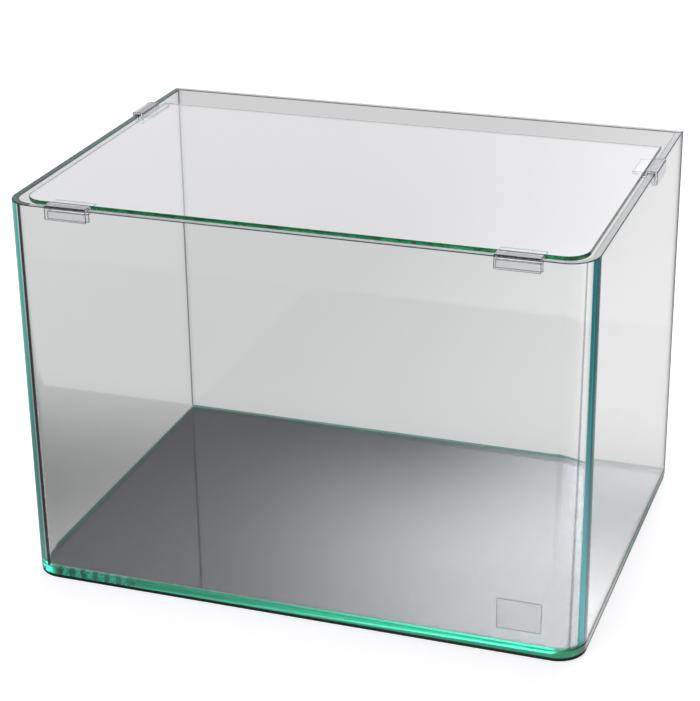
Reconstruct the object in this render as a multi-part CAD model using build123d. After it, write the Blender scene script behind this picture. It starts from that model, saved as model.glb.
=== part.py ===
from build123d import *
import os

# A small frameless aquarium. One pane is bent round both front corners, a flat pane closes
# the back, and both stand on a clear base that lies on a foam mat. A loose cover glass lies
# on clear clips pushed over the rim. All sizes are in millimetres.
# X runs to the viewer's right, Y to the back and Z up. The origin is on the surface that the
# mat lies on, at the middle of the outline with the clips on.

# The tank
tank_width = 400.0
tank_depth = 288.0
wall_height = 271.5
wall_thickness = 5.0
back_thickness = 5.0
base_thickness = 6.0
corner_radius = 20.0
arris = 0.6

# The clear silicone that joins the panes
seam_gap = 0.5
bead_leg = 2.0
bead_hollow = 0.3

# The foam mat under the base
mat_thickness = 2.0
mat_inset = 0.4

# The air left between hard faces that only rest on each other
resting_gap = 0.05

# The clips
clip_length = 30.0
clip_end_chamfer = 0.3
grip_clearance = 0.1
flange_thickness = 1.8
flange_drop = 8.2
saddle_thickness = 1.6
leg_thickness = 1.6
leg_drop = 9.0
ledge_length = 9.0
ledge_thickness = 2.0
ledge_depth = 1.6
saddle_round = 0.8
root_round = 0.5
lip_round = 0.6

# Where the clips sit: the front ones from the sides, the side ones from the back face
front_clip_from_side = 47.5
left_clip_from_back = 62.5
right_clip_from_back = 89.5

# The cover glass
cover_thickness = 3.0
cover_corner_radius = 15.0
cover_arris = 0.4
cover_clearance = 0.5
cover_side_play = 4.0
service_gap = 41.0

# The clear film on the front, at the lower right
film_width = 30.5
film_height = 22.5
film_thickness = 0.2
film_round = 0.8
film_from_right = 26.5
film_above_base = 11.0

# Places worked out from the sizes above
seam_recess = arris
clip_reach = grip_clearance + flange_thickness
half_width = tank_width / 2
front_face = -tank_depth / 2 + clip_reach / 2
back_face = front_face + tank_depth
back_pane_front = back_face - back_thickness
wall_end = back_pane_front - seam_gap
inner_radius = corner_radius - wall_thickness
base_underside = mat_thickness + resting_gap
floor_level = base_underside + base_thickness
wall_foot = floor_level + seam_gap
rim_level = wall_foot + wall_height
leg_face = wall_thickness + grip_clearance + leg_thickness
cover_inset = leg_face + cover_clearance
clip_level = rim_level + resting_gap
cover_underside = clip_level - ledge_depth + resting_gap


def footprint(left, right, front, back, radius, level):
    """A flat outline at one level, with its two front corners rounded."""
    middle = ((left + right) / 2, (front + back) / 2, level)
    square = Location(middle) * Rectangle(right - left, back - front)
    return fillet(square.vertices().group_by(Axis.Y)[0], radius)


def tank_outline(inset, level):
    """The tank's own outline, drawn in on every side by the inset."""
    return footprint(
        -half_width + inset,
        half_width - inset,
        front_face + inset,
        back_face - inset,
        corner_radius - inset,
        level,
    )


def inner_outline(level, inset=0.0):
    """The outline of the clear space inside the panes, drawn in by the inset."""
    return footprint(
        -half_width + wall_thickness + inset,
        half_width - wall_thickness - inset,
        front_face + wall_thickness + inset,
        back_pane_front - inset,
        inner_radius - inset,
        level,
    )


def make_foam_mat():
    """The thin black mat that evens out the surface under the glass."""
    return extrude(tank_outline(mat_inset, 0), mat_thickness)


def make_base_pane():
    """The base, as wide as the walls are, with its edge ground and polished."""
    pane = extrude(tank_outline(0, base_underside), base_thickness)
    rims = pane.edges().filter_by_position(Axis.Z, base_underside, base_underside)
    rims += pane.edges().filter_by_position(Axis.Z, floor_level, floor_level)
    return chamfer(rims, arris)


def make_bent_wall():
    """Left side, front and right side in one pane, bent round the two front corners."""
    outside = footprint(-half_width, half_width, front_face, wall_end, corner_radius, wall_foot)
    inside = footprint(
        -half_width + wall_thickness,
        half_width - wall_thickness,
        front_face + wall_thickness,
        wall_end + wall_thickness,
        inner_radius,
        wall_foot,
    )
    wall = extrude(outside - inside, wall_height)
    return chamfer(wall.edges().group_by(Axis.Z)[-1], arris)


def make_back_pane():
    """The flat pane behind the ends of the bent one, as wide as the tank."""
    middle = (0, (back_pane_front + back_face) / 2, wall_foot + wall_height / 2)
    pane = Location(middle) * Box(tank_width, back_thickness, wall_height)
    return chamfer(pane.edges().group_by(Axis.Z)[-1], arris)


def bead_section():
    """A bead's section: the corner of the two faces is at 0,0 and the bead's own face is hollow."""
    face_middle = bead_leg / 2 - bead_hollow
    outline = [
        Line((0, 0), (bead_leg, 0)),
        ThreePointArc((bead_leg, 0), (face_middle, face_middle), (0, bead_leg)),
        Line((0, bead_leg), (0, 0)),
    ]
    return make_face(Wire(outline))


def make_foot_seam():
    """The silicone under the walls, with the small bead that shows inside all round."""
    clear_space = inner_outline(floor_level)
    under_walls = extrude(tank_outline(seam_recess, floor_level) - clear_space, seam_gap)
    corner_line = clear_space.faces()[0].outer_wire()
    start = corner_line.position_at(0)
    inwards = Vector(0, 0, 1).cross(corner_line.tangent_at(0))
    if inwards.dot(Vector(0, 0, start.Z) - start) < 0:
        inwards = -inwards
    section = Plane(origin=start, x_dir=inwards, z_dir=inwards.cross(Vector(0, 0, 1))) * bead_section()
    return under_walls + sweep(section, path=corner_line, transition=Transition.RIGHT)


def make_corner_seam(side, foot_seam):
    """The upright silicone joint between a side's end and the back pane, with its bead."""
    inner_face = side * (half_width - wall_thickness)
    outer_edge = side * (half_width - seam_recess)
    height = rim_level - seam_recess - wall_foot
    between = Location(((inner_face + outer_edge) / 2, (wall_end + back_pane_front) / 2, wall_foot)) * Box(
        wall_thickness - seam_recess,
        seam_gap,
        height,
        align=(Align.CENTER, Align.CENTER, Align.MIN),
    )
    corner = Location((inner_face, back_pane_front, wall_foot), (0, 0, -135 - side * 45))
    bead = extrude(corner * bead_section(), height)
    return between + (bead - foot_seam)


def clip_profile():
    """The clip's section across the rim: inwards along Y from the wall's outer face, Z up."""
    slot_outer = -grip_clearance
    slot_inner = wall_thickness + grip_clearance
    ledge_end = leg_face + ledge_length
    points = [
        (-clip_reach, -flange_drop),
        (-clip_reach, saddle_thickness),
        (leg_face, saddle_thickness),
        (leg_face, -ledge_depth),
        (ledge_end, -ledge_depth),
        (ledge_end, -ledge_depth - ledge_thickness),
        (leg_face, -ledge_depth - ledge_thickness),
        (leg_face, -leg_drop),
        (slot_inner, -leg_drop),
        (slot_inner, 0),
        (slot_outer, 0),
        (slot_outer, -flange_drop),
    ]
    face = Plane.YZ * make_face(Polyline(*points, close=True))

    def near(y, z):
        return face.vertices().sort_by_distance((0, y, z))[0]

    face = fillet([near(-clip_reach, saddle_thickness), near(leg_face, saddle_thickness)], saddle_round)
    face = fillet([near(leg_face, -ledge_depth - ledge_thickness)], root_round)
    ends = [
        (ledge_end, -ledge_depth),
        (ledge_end, -ledge_depth - ledge_thickness),
        (-clip_reach, -flange_drop),
        (leg_face, -leg_drop),
    ]
    return fillet([near(y, z) for y, z in ends], lip_round)


def make_clip():
    """One clip with its middle at the origin, as if the wall's outer top edge ran along X."""
    clip = Location((-clip_length / 2, 0, 0)) * extrude(clip_profile(), clip_length, dir=(1, 0, 0))
    ends = clip.edges().filter_by_position(Axis.X, -clip_length / 2, -clip_length / 2)
    ends += clip.edges().filter_by_position(Axis.X, clip_length / 2, clip_length / 2)
    return chamfer(ends, clip_end_chamfer)


def clip_places():
    """Each clip's name, with the place and turn that set it on its stretch of rim."""
    return {
        "rim_clip_front_left": Location((front_clip_from_side - half_width, front_face, clip_level)),
        "rim_clip_front_right": Location((half_width - front_clip_from_side, front_face, clip_level)),
        "rim_clip_left": Location((-half_width, back_face - left_clip_from_back, clip_level), (0, 0, -90)),
        "rim_clip_right": Location((half_width, back_face - right_clip_from_back, clip_level), (0, 0, 90)),
    }


def make_cover_glass():
    """The loose cover, inside the rim at the front and sides and short of the back pane."""
    outline = footprint(
        -half_width + cover_inset + cover_side_play,
        half_width - cover_inset,
        front_face + cover_inset,
        back_pane_front - service_gap,
        cover_corner_radius,
        cover_underside,
    )
    pane = extrude(outline, cover_thickness)
    rims = pane.edges().group_by(Axis.Z)[0] + pane.edges().group_by(Axis.Z)[-1]
    return chamfer(rims, cover_arris)


def make_film():
    """The thin clear film stuck on the front pane, left bare."""
    middle = (
        half_width - film_from_right - film_width / 2,
        front_face - film_thickness / 2,
        floor_level + film_above_base + film_height / 2,
    )
    sheet = Location(middle) * Box(film_width, film_thickness, film_height)
    return fillet(sheet.edges().filter_by(Axis.Y), film_round)


foot_seam = make_foot_seam()
clip = make_clip()

parts = {
    "foam_mat": make_foam_mat(),
    "base_pane": make_base_pane(),
    "bent_wall": make_bent_wall(),
    "back_pane": make_back_pane(),
    "foot_seam": foot_seam,
    "corner_seam_left": make_corner_seam(-1, foot_seam),
    "corner_seam_right": make_corner_seam(1, foot_seam),
    "cover_glass": make_cover_glass(),
    "front_film": make_film(),
}
for name, place in clip_places().items():
    parts[name] = place * clip

os.makedirs("parts", exist_ok=True)
for name, shape in parts.items():
    export_step(shape, f"parts/{name}.step")
    box = shape.bounding_box()
    print(f"{name}: {shape.volume / 1000:.2f} cm3, {box.size.X:.1f} x {box.size.Y:.1f} x {box.size.Z:.1f} mm")
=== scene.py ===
# %% [markdown]
# # A frameless glass aquarium
# The tank is made of five clear sheets: a base, one pane bent round both front corners, a
# flat back pane and a loose cover that rests on four clear clips. Clear things have hardly
# any colour of their own. What we see is what they bend, mirror and swallow, so this lesson
# is mostly about real thickness, real absorption and the room round the glass.
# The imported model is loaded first. It is the fixed frame that every piece has to fit.

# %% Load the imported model
import math

import bmesh
import bpy
from mathutils import Matrix, Vector


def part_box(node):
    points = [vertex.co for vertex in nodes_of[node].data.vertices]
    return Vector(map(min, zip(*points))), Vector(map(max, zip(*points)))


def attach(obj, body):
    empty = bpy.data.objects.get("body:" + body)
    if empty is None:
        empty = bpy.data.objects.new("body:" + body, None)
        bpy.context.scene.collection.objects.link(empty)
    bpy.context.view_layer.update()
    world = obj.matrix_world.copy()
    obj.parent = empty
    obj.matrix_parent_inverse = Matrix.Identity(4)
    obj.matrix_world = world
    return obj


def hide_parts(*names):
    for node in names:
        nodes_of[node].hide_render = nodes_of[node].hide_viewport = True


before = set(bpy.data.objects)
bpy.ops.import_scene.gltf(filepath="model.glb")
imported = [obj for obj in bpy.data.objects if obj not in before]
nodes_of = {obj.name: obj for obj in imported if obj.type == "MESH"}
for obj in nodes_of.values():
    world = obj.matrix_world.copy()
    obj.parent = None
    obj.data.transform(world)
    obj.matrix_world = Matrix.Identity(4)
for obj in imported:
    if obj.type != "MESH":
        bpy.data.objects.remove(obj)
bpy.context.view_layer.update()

MM = 0.001
print("pieces in the frame:", ", ".join(sorted(nodes_of)))

# %% [markdown]
# ## The camera
# The camera stands right of the middle and looks down on the rim. Its place was worked out
# beforehand from straight edges of the tank: four rims, two uprights and the foot. A camera
# has three turns, and a matrix of its own right, up and backward directions sets them at
# once, without any guessing of angles one after the other.

# %% Place the camera
camera_place = Vector((437.0, -1255.75, 713.5)) * MM
camera_yaw = math.radians(-19.479)
camera_pitch = math.radians(23.31)
camera_roll = math.radians(-0.815)
photo_long_side = 701
focal_length_px = 2011.9
sensor_width_mm = 36.0

forward = Vector((
    math.sin(camera_yaw) * math.cos(camera_pitch),
    math.cos(camera_yaw) * math.cos(camera_pitch),
    -math.sin(camera_pitch),
))
level_right = Vector((math.cos(camera_yaw), -math.sin(camera_yaw), 0))
level_up = level_right.cross(forward)
right = math.cos(camera_roll) * level_right + math.sin(camera_roll) * level_up
up = math.cos(camera_roll) * level_up - math.sin(camera_roll) * level_right

camera_data = bpy.data.cameras.new("camera")
camera_data.sensor_width = sensor_width_mm
camera_data.lens = focal_length_px * sensor_width_mm / photo_long_side
camera = bpy.data.objects.new("camera", camera_data)
bpy.context.scene.collection.objects.link(camera)
turn = Matrix((right, up, -forward)).transposed()
camera.matrix_world = Matrix.Translation(camera_place) @ turn.to_4x4()
bpy.context.scene.camera = camera
print("lens in millimetres:", round(camera_data.lens, 1))

# %% [markdown]
# ## Light paths
# Light that enters a pane by its edge is mirrored from face to face until it finds a way
# out, often twenty times or more. The renderer stops a path after a set number of bounces
# and paints the rest black, so clear sheets need far more bounces than other objects do.

# %% Allow long light paths
most_bounces = 64
scene = bpy.context.scene
scene.view_settings.view_transform = "Standard"
scene.cycles.max_bounces = most_bounces
scene.cycles.glossy_bounces = most_bounces
scene.cycles.transmission_bounces = most_bounces
scene.cycles.transparent_max_bounces = 16
scene.cycles.diffuse_bounces = 3
scene.cycles.use_denoising = True
print("bounces allowed:", scene.cycles.max_bounces)

# %% [markdown]
# ## A helper for shader nodes
# A material is a small graph. This helper adds one node, sets its plain values and joins
# its inputs to other nodes' outputs, so that a graph can be read like a list of steps.

# %% Helper: add a node
def add_node(tree, kind, values=None, joins=None, **settings):
    """One node of a graph: its values and joins are given by the input's name or number."""
    node = tree.nodes.new(kind)
    for key, value in settings.items():
        setattr(node, key, value)
    for key, value in (values or {}).items():
        node.inputs[key].default_value = value
    for key, output in (joins or {}).items():
        tree.links.new(output, node.inputs[key])
    return node


def smooth_step(tree, value, low, high):
    """Rises smoothly from 0 at low to 1 at high."""
    node = add_node(
        tree, "ShaderNodeMapRange", {"From Min": low, "From Max": high}, {"Value": value},
        interpolation_type="SMOOTHSTEP",
    )
    return node.outputs["Result"]


def maths(tree, operation, *terms):
    """One sum: each term is a number or another node's output."""
    node = add_node(tree, "ShaderNodeMath", operation=operation)
    for socket, term in zip(node.inputs, terms):
        if isinstance(term, (int, float)):
            socket.default_value = term
        else:
            tree.links.new(term, socket)
    return node.outputs[0]


print("helpers ready: add_node, smooth_step, maths")

# %% [markdown]
# ## The room
# Glass shows the room that it stands in. This one has a pale backdrop behind the tank, a
# large soft lamp above the backdrop, and darker walls at the sides and behind the camera,
# which draw the dark lines along the rims. A world shader gives brightness by direction. Each
# zone is a soft window in azimuth, counted to the right from straight back, and in height.
# The zones far to the left, far to the right and overhead hardly show from the front. They
# keep the other views of the tank from going dark.
# Camera rays get plain white instead, which leaves the picture on a white ground.

# %% List the room's zones
# name: level, azimuth (rise from, to, fall from, to), height (rise from, to, fall from, to)
everywhere = (-500, -400, 400, 500)
room_zones = {
    "backdrop": (0.94, (-60, -45, 15, 45), (-20, -10, 20, 24)),
    "backdrop_right": (0.30, (-20, -8, 15, 45), (-20, -10, 20, 24)),
    "lamp": (4.06, (-25, -12, 6, 30), (24.5, 29.5, 47, 58)),
    "lamp_foot": (3.2, (-18, -8, 6, 20), (20, 24, 25, 30)),
    "beside_lamp": (0.62, (-60, -45, -25, -15), (22, 30, 45, 55)),
    "far_left": (0.47, (-178, -135, -100, -70), (-20, -10, 45, 60)),
    "behind_left": (0.18, (-500, -400, -100, -70), (-20, -10, 45, 60)),
    "far_right": (0.18, (60, 90, 400, 500), (-20, -10, 45, 60)),
    "overhead": (1.0, everywhere, (45, 60, 100, 110)),
}
dark_level = 0.05
room_tint = (1.0, 0.965, 1.015, 1)
print("zones listed:", len(room_zones))


# %% [markdown]
# ## From zones to a world
# A direction has three parts. Their arctangent and arcsine give its azimuth and its height.
# Each zone is the product of two soft windows, one for each of these, and the levels of all
# zones are added to a dark base level.

# %% Build the room
def smooth_window(tree, value, edges):
    """Rises over the first two edges and falls over the last two."""
    up = smooth_step(tree, value, edges[0], edges[1])
    down = smooth_step(tree, value, edges[2], edges[3])
    return maths(tree, "SUBTRACT", up, down)


def paint_room(zones, base_level):
    """A world whose brightness is the base level plus each zone's own, by direction."""
    tree = world.node_tree
    tree.nodes.clear()
    direction = add_node(tree, "ShaderNodeTexCoord").outputs["Generated"]
    axes = add_node(tree, "ShaderNodeSeparateXYZ", joins={0: direction})
    azimuth = maths(tree, "ARCTAN2", axes.outputs["X"], axes.outputs["Y"])
    azimuth = maths(tree, "MULTIPLY", azimuth, 180 / math.pi)
    rise = maths(tree, "ARCSINE", axes.outputs["Z"])
    rise = maths(tree, "MULTIPLY", rise, 180 / math.pi)
    total = base_level
    for level, turns, heights in zones.values():
        zone = maths(
            tree, "MULTIPLY",
            smooth_window(tree, azimuth, turns),
            smooth_window(tree, rise, heights),
        )
        total = maths(tree, "MULTIPLY_ADD", zone, level, total)
    studio = add_node(tree, "ShaderNodeBackground", {"Color": room_tint}, {"Strength": total})
    white = add_node(tree, "ShaderNodeBackground", {"Color": (1, 1, 1, 1), "Strength": 1.0})
    seen = add_node(tree, "ShaderNodeLightPath").outputs["Is Camera Ray"]
    either = add_node(
        tree, "ShaderNodeMixShader", joins={0: seen, 1: studio.outputs[0], 2: white.outputs[0]},
    )
    add_node(tree, "ShaderNodeOutputWorld", joins={"Surface": either.outputs[0]})


world = bpy.data.worlds.new("studio")
scene.world = world
world.use_nodes = True
paint_room(room_zones, dark_level)
print("zones in the room:", ", ".join(room_zones))

# %% [markdown]
# ## The floor
# The floor is a pale sheet. Seen straight on it is lifted to white and keeps only the
# tank's shadow. Through the panes and in their mirrors it shows a painted light and shade
# instead of its own lighting: a glow whose level is painted by place, grey behind the tank and
# brighter in front of it and to the right. So it has one look for camera rays, another for rays
# that come through glass or off it, and a plain one for the light that it hands on. Its zones
# are soft windows again, this time in metres.

# %% Lay the floor
floor_half = 12.0
floor_lift = 0.6
floor_white = (0.8, 0.8, 0.8, 1)
floor_tint = (1.0, 0.955, 0.965, 1)
floor_base_level = 0.23
# name: painted light level, left to right (rise from, to, fall from, to), front to back, in metres
painted_floor_light_zones = {
    "behind": (0.44, (-90, -80, 0.33, 0.5), (-0.05, 0.2, 80, 90)),
    "behind_right": (0.23, (-0.2, 0.3, 0.33, 0.5), (0.0, 0.3, 80, 90)),
    "right": (0.15, (0.25, 0.45, 80, 90), (-0.7, -0.3, -0.1, 0.1)),
    "front": (1.02, (-0.3, 0.1, 80, 90), (-0.5, -0.2, -0.1, 0.1)),
    "front_left": (0.10, (-90, -80, -0.3, 0.1), (-0.5, -0.2, -0.1, 0.1)),
    "front_far": (0.40, everywhere, (-90, -80, -0.5, -0.2)),
}

floor_mesh = bpy.data.meshes.new("floor")
corners = [(x * floor_half, y * floor_half, 0) for x, y in ((-1, -1), (1, -1), (1, 1), (-1, 1))]
floor_mesh.from_pydata(corners, [], [(0, 1, 2, 3)])
floor = bpy.data.objects.new("floor", floor_mesh)
scene.collection.objects.link(floor)
paper = bpy.data.materials.new("floor_paper")
paper.use_nodes = True
floor_mesh.materials.append(paper)


def paint_floor(zones, base_level):
    """The floor's three looks, the one through glass with a painted light level at each place."""
    tree = paper.node_tree
    tree.nodes.clear()
    position = add_node(tree, "ShaderNodeTexCoord").outputs["Object"]
    place = add_node(tree, "ShaderNodeSeparateXYZ", joins={0: position})
    total = base_level
    for level, across, away in zones.values():
        zone = maths(
            tree, "MULTIPLY",
            smooth_window(tree, place.outputs["X"], across),
            smooth_window(tree, place.outputs["Y"], away),
        )
        total = maths(tree, "MULTIPLY_ADD", zone, level, total)
    plain = add_node(tree, "ShaderNodeBsdfDiffuse", {"Color": floor_white})
    lift = add_node(tree, "ShaderNodeEmission", {"Color": (1, 1, 1, 1), "Strength": floor_lift})
    lifted = add_node(tree, "ShaderNodeAddShader", joins={0: plain.outputs[0], 1: lift.outputs[0]})
    # The painted light and shade that the floor shows through glass and in its mirrors
    painted_floor_light = add_node(tree, "ShaderNodeEmission", {"Color": floor_tint}, {"Strength": total})
    paths = add_node(tree, "ShaderNodeLightPath")
    mirrored, passed, seen = (
        paths.outputs[kind] for kind in ("Is Glossy Ray", "Is Transmission Ray", "Is Camera Ray")
    )
    by_glass = maths(tree, "MAXIMUM", mirrored, passed)
    glass_or_plain = add_node(
        tree, "ShaderNodeMixShader", joins={0: by_glass, 1: plain.outputs[0], 2: painted_floor_light.outputs[0]},
    )
    all_looks = add_node(
        tree, "ShaderNodeMixShader",
        joins={0: seen, 1: glass_or_plain.outputs[0], 2: lifted.outputs[0]},
    )
    add_node(tree, "ShaderNodeOutputMaterial", joins={"Surface": all_looks.outputs[0]})


paint_floor(painted_floor_light_zones, floor_base_level)
print("floor laid,", 2 * floor_half, "m wide")

# %% [markdown]
# ## Float glass
# Window glass is clear across its thickness and green along its length, because its iron
# swallows red light slowly. So the faces have no tint at all, and the colour comes from a
# volume that absorbs. The cut edges are ground and polished by a wheel that runs along them,
# which leaves fine lines and a slight bloom, and they carry the rest of the green.
# Every finish of a pane is in one material, because light keeps account of the glass that it
# is in by the material of the face that it went in by. So each face says by five numbers
# which finish or painted light it has: ground (a cut edge), dull shade (a rough edge, darkened
# by painted shade), pale (a frosted rim, made pale by painted light), wetted (a joint) and bent
# (the outside of a bend, which carries painted light and shade).
# In a joint the silicone wets the pane and there is no air, so the face hardly mirrors. Its
# index is drawn as nearly that of glass, above the 1.41 of real silicone. With the real one
# the foot of each wall mirrors all light that comes at it so flat, and a white line stands
# over the green band that the real tank doesn't have.

# %% Helpers: start a material, noise, mix, spread and bump
def start_material(name):
    """A new material with its node tree and its shader at hand."""
    material = bpy.data.materials.new(name)
    material.use_nodes = True
    tree = material.node_tree
    return material, tree, tree.nodes["Principled BSDF"]


def noise(tree, vector, scale, detail):
    """A soft noise from 0 to 1, looked up at the vector."""
    node = add_node(
        tree, "ShaderNodeTexNoise", {"Scale": scale, "Detail": detail}, {"Vector": vector},
    )
    return node.outputs[0]


def mix(tree, factor, first, second):
    """A colour from the first to the second, each plain or another node's output."""
    values, joins = {}, {"Factor": factor}
    for name, colour in (("A", first), ("B", second)):
        (values if isinstance(colour, tuple) else joins)[name] = colour
    return add_node(tree, "ShaderNodeMix", values, joins, data_type="RGBA").outputs["Result"]


def spread(tree, value, low, high):
    """A value from 0 to 1, stretched to run from low to high."""
    node = add_node(tree, "ShaderNodeMapRange", {"To Min": low, "To Max": high}, {"Value": value})
    return node.outputs["Result"]


def add_bump(tree, shader, height, depth):
    """Raises the skin by the height, a texture from 0 to 1, times the depth in metres."""
    bump = add_node(
        tree, "ShaderNodeBump", {"Strength": 1.0, "Distance": depth}, {"Height": height},
    )
    tree.links.new(bump.outputs[0], shader.inputs["Normal"])


print("helpers ready: start_material, noise, mix, spread, add_bump")

# %% [markdown]
# ## The bends
# Seen edge on, each bend of the real tank is a teal column. That light has run the whole
# length of a side pane, from face to face, and leaves where the glass turns. A renderer that
# follows light backwards from the camera finds few ways into the pane, so a painted light, a
# tint by the angle of view, stands for it: Layer Weight says how far a face is turned away. On
# the left bend a broad dark line of painted shade lies beside the teal. On the right bend the
# column is bluer and wider, fades outwards and has a thin line of painted shade beside it.
# There, part of the light is scattered at the skin, a painted glow that stands for the light
# that comes out by itself.

# %% Colour the bends
left_bend_painted_light = (0.003, 0.46, 0.32, 1)
right_bend_painted_light = (0.008, 0.36, 0.41, 1)
bend_painted_shade = (0.002, 0.004, 0.004, 1)
bend_glow = 0.5
bent_left, bent_right = 1.0, 0.5
# How far a face is turned away, from 0 to 1: where a look starts and where it is full, and
# for the lines also where they start to fade and where they are gone
broad_line_span = (0.355, 0.385, 0.475, 0.50)
thin_line_span = (0.19, 0.21, 0.225, 0.245)
thin_line_share = 0.75
left_teal_start = (0.50, 0.55)
right_teal_start = (0.345, 0.385)
right_fade_span = (0.50, 0.95)
right_fade_share = 0.75


def bend_looks(tree, plain):
    """A bend's painted light and shade over the plain colour, and the share of it that glows."""
    bent = add_node(tree, "ShaderNodeAttribute", attribute_name="bent").outputs["Fac"]
    facing = add_node(tree, "ShaderNodeLayerWeight", {"Blend": 0.5}).outputs["Facing"]
    on_left = maths(tree, "GREATER_THAN", bent, (bent_left + bent_right) / 2)
    on_bend = maths(tree, "GREATER_THAN", bent, bent_right / 2)
    on_right = maths(tree, "SUBTRACT", on_bend, on_left)
    broad_line = maths(tree, "MULTIPLY", on_left, smooth_window(tree, facing, broad_line_span))
    thin_line = maths(tree, "MULTIPLY", on_right, smooth_window(tree, facing, thin_line_span))
    painted_shade_line = maths(tree, "MULTIPLY_ADD", thin_line, thin_line_share, broad_line)
    left_teal = maths(tree, "MULTIPLY", on_left, smooth_step(tree, facing, *left_teal_start))
    faded = smooth_step(tree, facing, *right_fade_span)
    kept = maths(tree, "MULTIPLY_ADD", faded, -right_fade_share, 1.0)
    column = maths(tree, "MULTIPLY", smooth_step(tree, facing, *right_teal_start), kept)
    right_teal = maths(tree, "MULTIPLY", on_right, column)
    colour = mix(tree, painted_shade_line, plain, bend_painted_shade)
    colour = mix(tree, left_teal, colour, left_bend_painted_light)
    colour = mix(tree, right_teal, colour, right_bend_painted_light)
    return colour, maths(tree, "MULTIPLY", right_teal, bend_glow)


print("share of the light scattered in the right column:", bend_glow)

# %% [markdown]
# ## The three glasses
# The sheets differ at their edges. The base's edge is ground and polished, so it is clear and
# bright green. The walls' rims are only ground, so they look frosted, and along the front, the
# right and the back a painted light makes them pale, where the real rims catch the lamp. The
# cover is thin, and its edge is dark green. One recipe serves all three and takes the edge's
# tints, its painted light and shade, its roughness and the depth of its marks. The wheel's
# lines are a noise stretched along the edge, the mottle is a plain noise, and a long slow
# noise gives each sheet slight waves.

# %% Mix the glass
glass_index = 1.52
silicone_index = 1.5198
glass_density = 6.5
glass_tint = (0.05, 0.86, 0.70, 1)
white = (1, 1, 1, 1)
finish_names = ("ground", "dull_shade", "pale", "wetted")
# How often each texture repeats in a metre, along the edge and across it
wheel_lines_scale = (45, 1800, 1)
mottle_scale = 260.0
mottle_edges = (0.40, 0.62)
waves_scale = (22, 6, 1)
bloom_spread = 0.3
pale_bloom = 0.1
lit_frost_share = 0.5


def make_glass(name, tint, dark_tint, dull_shade_tint, roughness, line_depth, wave_depth):
    """One sheet's glass, with all its finishes and their painted light and shade. The two depths
    are in millimetres.
    """
    material, tree, shader = start_material(name)
    ground, dull_shade, pale, wetted = (
        add_node(tree, "ShaderNodeAttribute", attribute_name=finish).outputs["Fac"]
        for finish in finish_names
    )
    # A face's index is the glass's own over that of what lies outside the face
    joint_step = glass_index / silicone_index - glass_index
    index = maths(tree, "MULTIPLY_ADD", wetted, joint_step, glass_index)
    tree.links.new(index, shader.inputs["IOR"])

    run = add_node(tree, "ShaderNodeUVMap", uv_map="run").outputs["UV"]
    along = add_node(tree, "ShaderNodeMapping", {"Scale": wheel_lines_scale}, {"Vector": run})
    lines = noise(tree, along.outputs[0], scale=1.0, detail=3.0)
    spots = noise(tree, run, scale=mottle_scale, detail=2.0)
    edge_colour = mix(tree, smooth_step(tree, spots, *mottle_edges), tint, dark_tint)
    # Pale rims turn white, a painted light
    edge_colour = mix(tree, pale, edge_colour, white)
    # Dull edges take a dark tint, a painted shade
    edge_colour = mix(tree, dull_shade, edge_colour, dull_shade_tint)
    colour, glow = bend_looks(tree, mix(tree, ground, white, edge_colour))
    tree.links.new(colour, shader.inputs["Base Color"])

    bloom = spread(tree, lines, roughness * (1 - bloom_spread), roughness * (1 + bloom_spread))
    edge_bloom = maths(tree, "MULTIPLY", bloom, ground)
    sheen = maths(tree, "MULTIPLY_ADD", pale, pale_bloom, edge_bloom)
    tree.links.new(sheen, shader.inputs["Roughness"])
    # Pale rims scatter a share of the light white instead of letting it through: painted light
    unfrosted = maths(tree, "MULTIPLY_ADD", pale, -lit_frost_share, 1.0)
    clear_share = maths(tree, "SUBTRACT", unfrosted, glow)
    tree.links.new(clear_share, shader.inputs["Transmission Weight"])

    stretched = add_node(tree, "ShaderNodeMapping", {"Scale": waves_scale}, {"Vector": run})
    waves = noise(tree, stretched.outputs[0], scale=1.0, detail=1.0)
    wheel_marks = maths(tree, "MULTIPLY", lines, maths(tree, "MULTIPLY", ground, line_depth))
    heights = maths(tree, "ADD", wheel_marks, maths(tree, "MULTIPLY", waves, wave_depth))
    add_bump(tree, shader, heights, MM)

    inside = add_node(
        tree, "ShaderNodeVolumeAbsorption", {"Color": glass_tint, "Density": glass_density},
    )
    tree.links.new(inside.outputs[0], tree.nodes["Material Output"].inputs["Volume"])
    return material


# Each sheet's dull tint is the painted shade of its dull edges and corners
base_glass = make_glass(
    "base_glass",
    tint=(0.08, 0.74, 0.54, 1), dark_tint=(0.05, 0.62, 0.42, 1), dull_shade_tint=(0.01, 0.28, 0.18, 1),
    roughness=0.04, line_depth=0.004, wave_depth=0.004,
)
wall_glass = make_glass(
    "wall_glass",
    tint=(0.24, 0.72, 0.74, 1), dark_tint=(0.12, 0.50, 0.53, 1), dull_shade_tint=(0.02, 0.05, 0.055, 1),
    roughness=0.36, line_depth=0.010, wave_depth=0.010,
)
cover_glass = make_glass(
    "cover_glass",
    tint=(0.02, 0.34, 0.15, 1), dark_tint=(0.002, 0.09, 0.035, 1), dull_shade_tint=(0.01, 0.05, 0.03, 1),
    roughness=0.05, line_depth=0.006, wave_depth=0.004,
)
print("three glasses mixed, all with an index of", glass_index)

# %% [markdown]
# ## The panes
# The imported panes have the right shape, but each bend is a row of sixteen flats. That is
# plenty for a collision test and too coarse for glass, which bends light by the slope of its
# skin. So each pane is built again on the same lines, with seventy steps to a bend: a ring of
# points, repeated at each level, drawn in where the rim is ground off.

# %% Draw the rings
bend_steps = 70
arris = 0.6 * MM
cover_arris = 0.4 * MM
sharp_angle = math.radians(20)
CLEAR, GROUND, DULL_SHADE, PALE, WETTED, LEFT_BEND, RIGHT_BEND = range(7)


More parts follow.
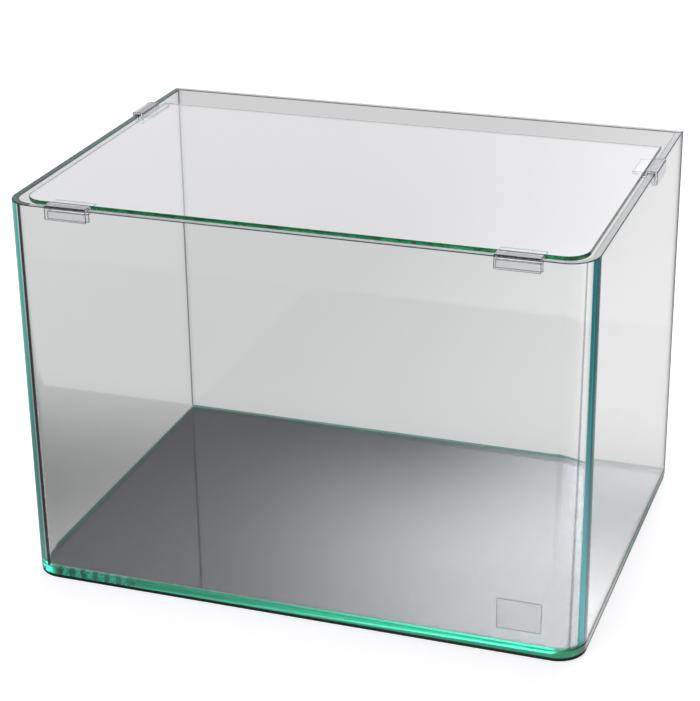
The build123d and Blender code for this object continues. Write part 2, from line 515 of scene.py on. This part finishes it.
def front_path(left, right, front, back, radius):
    """From the back left round both front corners to the back right."""
    points = [(left, back)]
    middle_y = front + radius
    for middle_x, first_turn in ((left + radius, 180), (right - radius, 270)):
        for step in range(bend_steps + 1):
            turn = math.radians(first_turn + 90 * step / bend_steps)
            x, y = middle_x + radius * math.cos(turn), middle_y + radius * math.sin(turn)
            points.append((x, y))
    points.append((right, back))
    return points


def draw_in(ring, inset):
    """The ring moved inwards by the inset, with its corners kept sharp."""
    moved = []
    for before, point, after in zip(ring[-1:] + ring[:-1], ring, ring[1:] + ring[:1]):
        sides = []
        for (x0, y0), (x1, y1) in ((before, point), (point, after)):
            length = math.hypot(x1 - x0, y1 - y0)
            sides.append(((y1 - y0) / length, (x0 - x1) / length))
        (ax, ay), (bx, by) = sides
        share = inset / (1 + ax * bx + ay * by)
        moved.append((point[0] - share * (ax + bx), point[1] - share * (ay + by)))
    return moved


print("one step of a bend turns by", round(90 / bend_steps, 2), "degrees")


# %% [markdown]
# ## From rings to a pane
# The rings are joined by rows of four-sided faces and capped at both ends. Each face gets its
# place on an unrolled map, in metres along the edge and across it, so that the wheel's lines
# run along every edge and round the bends. It also gets its finish and its marks of painted
# light and shade, as the numbers that the glass reads. Edges that turn by more than 20 degrees
# stay sharp, and the bends are smooth.

# %% Close the rings to a pane
def make_pane(
    name, node, rows, finishes, caps, material, own_columns=None, own_rim=None, bridged=False,
):
    """A closed solid: one ring of points at each level, capped at its foot and its top.

    Each row of faces has a finish, unless own_columns gives one to a face by its row and
    column. A bridged ring doubles back on itself, and its caps are rims that join its two
    halves: there, own_rim gives a finish to a column of the upper rim.
    """
    shape = bmesh.new()
    run_map = shape.loops.layers.uv.new("run")
    ground, dull_shade, pale, wetted, bent = (
        shape.faces.layers.float.new(finish) for finish in finish_names + ("bent",)
    )
    count = len(rows[0][0])
    run = [0.0]
    first = rows[0][0]
    for (x0, y0), (x1, y1) in zip(first, first[1:] + first[:1]):
        run.append(run[-1] + math.hypot(x1 - x0, y1 - y0))
    across = [0.0]
    for (ring, level), (next_ring, next_level) in zip(rows, rows[1:]):
        (x0, y0), (x1, y1) = ring[0], next_ring[0]
        across.append(across[-1] + math.dist((x0, y0, level), (x1, y1, next_level)))
    levels = [[shape.verts.new((x, y, level)) for x, y in ring] for ring, level in rows]

    def add_face(corners, map_points, finish):
        face = shape.faces.new(corners)
        face.smooth = True
        face[ground] = float(finish in (GROUND, DULL_SHADE, PALE))
        face[pale] = float(finish == PALE)
        face[dull_shade] = float(finish == DULL_SHADE)
        face[wetted] = float(finish == WETTED)
        face[bent] = {LEFT_BEND: bent_left, RIGHT_BEND: bent_right}.get(finish, 0.0)
        for loop, point in zip(face.loops, map_points):
            loop[run_map].uv = point

    for row, (low, high) in enumerate(zip(levels, levels[1:])):
        for i in range(count):
            j = (i + 1) % count
            finish = (own_columns or {}).get((row, i), finishes[row])
            here, there, below, above = run[i], run[i + 1], across[row], across[row + 1]
            map_points = ((here, below), (there, below), (there, above), (here, above))
            add_face((low[i], low[j], high[j], high[i]), map_points, finish)
    for ring, turned, finish in ((levels[0], True, caps[0]), (levels[-1], False, caps[1])):
        if bridged:
            for i in range(count // 2 - 1):
                opposite = count - 1 - i
                quad = [ring[k] for k in (i, i + 1, opposite - 1, opposite)]
                width = math.dist(quad[0].co, quad[3].co)
                points = [(run[i], 0), (run[i + 1], 0), (run[i + 1], width), (run[i], width)]
                if turned:
                    quad, points = quad[::-1], points[::-1]
                own = finish if turned else (own_rim or {}).get(i, finish)
                add_face(quad, points, own)
        else:
            verts = ring[::-1] if turned else ring
            add_face(verts, [vert.co.xy for vert in verts], finish)
    mesh = bpy.data.meshes.new(name)
    shape.to_mesh(mesh)
    shape.free()
    mesh.set_sharp_from_angle(angle=sharp_angle)
    mesh.materials.append(material)
    piece = bpy.data.objects.new(name, mesh)
    scene.collection.objects.link(piece)
    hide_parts(node)
    print(name, "faces:", len(mesh.polygons))
    return piece


# %% [markdown]
# ## The base
# The base is the thickest sheet and carries the others. It is as wide as the walls, so its
# edge shows all round as the green band at the foot. A wheel has taken off the sharp corners,
# so the ring is drawn in at the foot and at the top, and these narrow strips are dull, darkened
# by painted shade. The strip under the walls has a row of its own, because the silicone wets
# it. The back edge shows only through the glass and the right one looks darker than the front
# one, so both are dull too, darkened by painted shade.

# %% Build the base
(left, front, foot), (right, back, top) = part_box("base_pane")
corner_radius = 20 * MM
wall_thickness = 5 * MM
outline = front_path(left, right, front, back, corner_radius)
inside_walls = front_path(
    left + wall_thickness, right - wall_thickness,
    front + wall_thickness, back - wall_thickness,
    corner_radius - wall_thickness,
)
right_edge, back_edge = len(outline) - 2, len(outline) - 1
base_rows = [
    (draw_in(outline, arris), foot),
    (outline, foot + arris),
    (outline, top - arris),
    (draw_in(outline, arris), top),
    (inside_walls, top),
]
base = make_pane(
    "base_of_glass", "base_pane", base_rows,
    (DULL_SHADE, GROUND, DULL_SHADE, WETTED), (CLEAR, CLEAR), base_glass,
    own_columns={(1, right_edge): DULL_SHADE, (1, back_edge): DULL_SHADE},
)
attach(base, "tank")

# %% [markdown]
# ## The bent wall
# Left side, front and right side are one sheet, heated and bent round both front corners. Its
# ring runs round the outside and comes back along the inside, so the caps are narrow rims
# between the two. The outside of each bend has a mark of its own, which brings in the columns
# of painted light and shade from above. The two ends and the foot are joints, and the ground
# corner along the top is dull, darkened by painted shade. The rim is frosted, and along the
# front and the right a painted light makes it pale, as the real rim there catches the lamp;
# along the left it stays green.

# %% Build the bent wall
(left, front, foot), (right, back, top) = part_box("bent_wall")
outer = front_path(left, right, front, back, corner_radius)
inner = front_path(
    left + wall_thickness, right - wall_thickness,
    front + wall_thickness, back,
    corner_radius - wall_thickness,
)
outline = outer + inner[::-1]
wall_rows = [(outline, foot), (outline, top - arris), (draw_in(outline, arris), top)]
right_end, left_end = len(outer) - 1, len(outline) - 1
wall_columns = {(0, right_end): WETTED, (0, left_end): WETTED}
left_bend_start, front_start, right_bend_start = 1, bend_steps + 1, bend_steps + 2
for start, finish in ((left_bend_start, LEFT_BEND), (right_bend_start, RIGHT_BEND)):
    for column in range(start, start + bend_steps):
        wall_columns[(0, column)] = finish
pale_rim = {column: PALE for column in range(front_start, right_end)}
wall = make_pane(
    "bent_wall_of_glass", "bent_wall", wall_rows,
    (CLEAR, DULL_SHADE), (WETTED, GROUND), wall_glass,
    own_columns=wall_columns, own_rim=pale_rim, bridged=True,
)
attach(wall, "tank")

# %% [markdown]
# ## The back pane
# The back pane stands behind the ends of the bent one and is as wide as the tank, so its two
# upright edges show at the corners. They are dull and darkened by painted shade, as is the
# ground corner along the top, the strips that face the ends are joints, and the rim is frosted
# and made pale by painted light like the front's. Two more points in the ring part the strips
# from the clear middle.

# %% Build the back pane
(left, front, foot), (right, back, top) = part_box("back_pane")
outline = [
    (left, back), (left, front), (left + wall_thickness, front),
    (right - wall_thickness, front), (right, front), (right, back),
]
back_rows = [(outline, foot), (outline, top - arris), (draw_in(outline, arris), top)]
left_edge, left_joint, right_joint, right_edge = 0, 1, 3, 4
back_sides = {
    (0, left_edge): DULL_SHADE, (0, left_joint): WETTED, (0, right_joint): WETTED, (0, right_edge): DULL_SHADE,
}
pane = make_pane(
    "back_pane_of_glass", "back_pane", back_rows,
    (CLEAR, DULL_SHADE), (WETTED, PALE), wall_glass,
    own_columns=back_sides,
)
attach(pane, "tank")

# %% [markdown]
# ## The cover
# The cover lies loose on the clips' ledges, inside the rim, and stops short of the back pane,
# which leaves room for hoses. It is thinner than the walls, and its corners and chamfers are
# smaller. It lifts off, so it rides on a body of its own.

# %% Build the cover
(left, front, foot), (right, back, top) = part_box("cover_glass")
cover_radius = 15 * MM
outline = front_path(left, right, front, back, cover_radius)
cover_rows = [
    (draw_in(outline, cover_arris), foot),
    (outline, foot + cover_arris),
    (outline, top - cover_arris),
    (draw_in(outline, cover_arris), top),
]
# The lower ground corner is dull, darkened by painted shade
cover = make_pane(
    "cover_of_glass", "cover_glass", cover_rows,
    (DULL_SHADE, GROUND, GROUND), (CLEAR, CLEAR), cover_glass,
)
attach(cover, "cover")

# %% [markdown]
# ## The clips
# Clear moulded plastic bends light like glass, a little more strongly, and has no green in
# it. A real clip is drawn in thin black lines, where its rounded edges turn the view to the
# dark sides of the room. Here each rounded edge is a few flats wide, too coarse to bend the
# view like that, so every face that isn't square to the clip is nearly black. The mould leaves
# the flat faces a little uneven.

# %% Mould the clips
def dress(node, material):
    """Gives a CAD piece its finish, in every slot that it has."""
    mesh = nodes_of[node].data
    if not mesh.materials:
        mesh.materials.append(material)
    for number in range(len(mesh.materials)):
        mesh.materials[number] = material


clip_index = 1.58
clip_tint = (0.93, 0.94, 0.96, 1)
clip_line = (0.002, 0.003, 0.004, 1)
squarest_round = 0.98
flow_scale = 220.0
flow_sheen = (0.0, 0.08)
flow_depth = 0.05 * MM

clip_plastic, tree, shader = start_material("clip_plastic")
shader.inputs["IOR"].default_value = clip_index
shader.inputs["Transmission Weight"].default_value = 1.0
# The largest part of a face's direction is 1 when the face is square to the clip
normal = add_node(tree, "ShaderNodeNewGeometry").outputs["True Normal"]
parts = add_node(tree, "ShaderNodeSeparateXYZ", joins={0: normal})
sizes = [maths(tree, "ABSOLUTE", parts.outputs[axis]) for axis in "XYZ"]
squareness = maths(tree, "MAXIMUM", maths(tree, "MAXIMUM", sizes[0], sizes[1]), sizes[2])
rounded = maths(tree, "LESS_THAN", squareness, squarest_round)
tree.links.new(mix(tree, rounded, clip_tint, clip_line), shader.inputs["Base Color"])
place = add_node(tree, "ShaderNodeTexCoord").outputs["Object"]
flow = noise(tree, place, flow_scale, detail=2.0)
tree.links.new(spread(tree, flow, *flow_sheen), shader.inputs["Roughness"])
add_bump(tree, shader, flow, flow_depth)
for node in nodes_of:
    if node.startswith("rim_clip"):
        dress(node, clip_plastic)
print("clips moulded:", sum(node.startswith("rim_clip") for node in nodes_of))

# %% [markdown]
# ## The silicone
# The joints are filled with clear silicone. On the real tank it touches the glass without
# any air between, so it hardly shows: a faint line where it fills a gap, and a faint sheen on
# the small bead inside. A second solid of refracting glass would mirror at every joint, so
# the silicone is a thin skin that lets light straight through: nearly all of it at the bead,
# and about half in the joint, which shows as the fine dark line over the foot.
# Two clear skins in one place go black. So each piece of silicone is drawn in by a hair.

# %% Draw a piece in by a hair
hair = 0.02 * MM
same_point = 1e-7
print("drawn in by", hair / MM, "mm")


def drawn_in(node, materials, choose):
    """A copy of a CAD piece, smaller by a hair on every face, that stands for the piece.

    Each face takes the material whose number choose() gives for the face's middle.
    """
    mesh = nodes_of[node].data.copy()
    mesh.name = node + "_drawn_in"
    shape = bmesh.new()
    shape.from_mesh(mesh)
    bmesh.ops.remove_doubles(shape, verts=shape.verts, dist=same_point)
    shape.normal_update()
    for face in shape.faces:
        face.material_index = choose(face.calc_center_median())
    places = [vert.co - vert.normal * hair * vert.calc_shell_factor() for vert in shape.verts]
    for vert, place in zip(shape.verts, places):
        vert.co = place
    shape.to_mesh(mesh)
    shape.free()
    mesh.materials.clear()
    for material in materials:
        mesh.materials.append(material)
    piece = bpy.data.objects.new(node + "_clear", mesh)
    scene.collection.objects.link(piece)
    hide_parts(node)
    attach(piece, "tank")
    return piece


# %% [markdown]
# ## The seams
# The bead is smoothed with a tool while it is wet, which leaves a soft and slightly uneven
# sheen. Joint and bead are one piece of silicone with two looks, so each face is asked where
# it lies.

# %% Run the seams
tooling_scale = 140.0
tooling_sheen = (0.15, 0.4)
tooling_depth = 0.3 * MM


def make_silicone(name, colour, cover):
    """A soft skin that hides the given share of what lies behind it."""
    material, tree, shader = start_material(name)
    shader.inputs["Base Color"].default_value = colour
    shader.inputs["Alpha"].default_value = cover
    place = add_node(tree, "ShaderNodeTexCoord").outputs["Object"]
    tooled = noise(tree, place, tooling_scale, detail=3.0)
    tree.links.new(spread(tree, tooled, *tooling_sheen), shader.inputs["Roughness"])
    add_bump(tree, shader, tooled, tooling_depth)
    return material


seam_bead = make_silicone("seam_bead", (0.62, 0.68, 0.68, 1), cover=0.05)
seam_film = make_silicone("seam_film", (0.03, 0.04, 0.045, 1), cover=0.55)
(left, front, foot), (right, back, top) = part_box("bent_wall")
clear_half_width = right - wall_thickness
clear_front = front + wall_thickness


def between_panes(middle):
    """1 for a face in the joint between two panes, 0 for one on the bead inside the tank."""
    x, y = middle.xy
    return int(abs(x) > clear_half_width - hair or y < clear_front + hair or y > back)


for node in ("foot_seam", "corner_seam_left", "corner_seam_right"):
    drawn_in(node, (seam_bead, seam_film), between_panes)
print("seams run along", round(2 * (right - left + back - front), 2), "m of foot")

# %% [markdown]
# ## The foam mat
# The tank lies on a thin sheet of black foam, which evens out the shelf. It swallows nearly
# all light, and its cut edge shows as the black line under the green one. Its skin is made of
# small cells, each raised and darker towards its border.

# %% Cut the mat
cells_in_a_metre = 1400.0
foam_middle = (0.022, 0.022, 0.024, 1)
foam_border = (0.006, 0.006, 0.007, 1)
foam_roughness = 0.85
cell_depth = 0.25 * MM

foam, tree, shader = start_material("black_foam")
place = add_node(tree, "ShaderNodeTexCoord").outputs["Object"]
voronoi = add_node(tree, "ShaderNodeTexVoronoi", {"Scale": cells_in_a_metre}, {"Vector": place})
cells = voronoi.outputs["Distance"]
tree.links.new(mix(tree, cells, foam_middle, foam_border), shader.inputs["Base Color"])
shader.inputs["Roughness"].default_value = foam_roughness
add_bump(tree, shader, cells, cell_depth)
dress("foam_mat", foam)
print("mat cut, with cells about", round(1 / cells_in_a_metre / MM, 1), "mm wide")

# %% [markdown]
# ## The film
# A small clear film is stuck on the front pane, at the lower right. It is bare here. Its face
# is slightly hazy. Its cut edge is far too thin to see, but the knife lifts the film a little
# all round, and that border shows as a thin grey outline. So the shader measures how far each
# point is from the film's middle, across and up.

# %% Stick on the film
(left, front, foot), (right, back, top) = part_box("front_film")
film_border = 0.5 * MM
haze_cover = 0.03
border_cover = 0.45
film_colour = (0.25, 0.25, 0.26, 1)
haze_scale = 500.0
haze_sheen = (0.18, 0.42)
haze_depth = 0.02 * MM


def outside_of(tree, value, low, high):
    """1 where the value is below low or above high, 0 between them."""
    away = maths(tree, "ABSOLUTE", maths(tree, "SUBTRACT", value, (low + high) / 2))
    return maths(tree, "GREATER_THAN", away, (high - low) / 2)


film, tree, shader = start_material("clear_film")
shader.inputs["Base Color"].default_value = film_colour
place = add_node(tree, "ShaderNodeTexCoord").outputs["Object"]
axes = add_node(tree, "ShaderNodeSeparateXYZ", joins={0: place})
border = maths(
    tree, "MAXIMUM",
    outside_of(tree, axes.outputs["X"], left + film_border, right - film_border),
    outside_of(tree, axes.outputs["Z"], foot + film_border, top - film_border),
)
cover = maths(tree, "MULTIPLY_ADD", border, border_cover - haze_cover, haze_cover)
tree.links.new(cover, shader.inputs["Alpha"])
haze = noise(tree, place, haze_scale, detail=4.0)
tree.links.new(spread(tree, haze, *haze_sheen), shader.inputs["Roughness"])
add_bump(tree, shader, haze, haze_depth)


def one_finish(middle):
    """The film has one material, whose number is 0."""
    return 0


drawn_in("front_film", (film,), one_finish)
print("film stuck on,", round((right - left) / MM, 1), "mm wide")
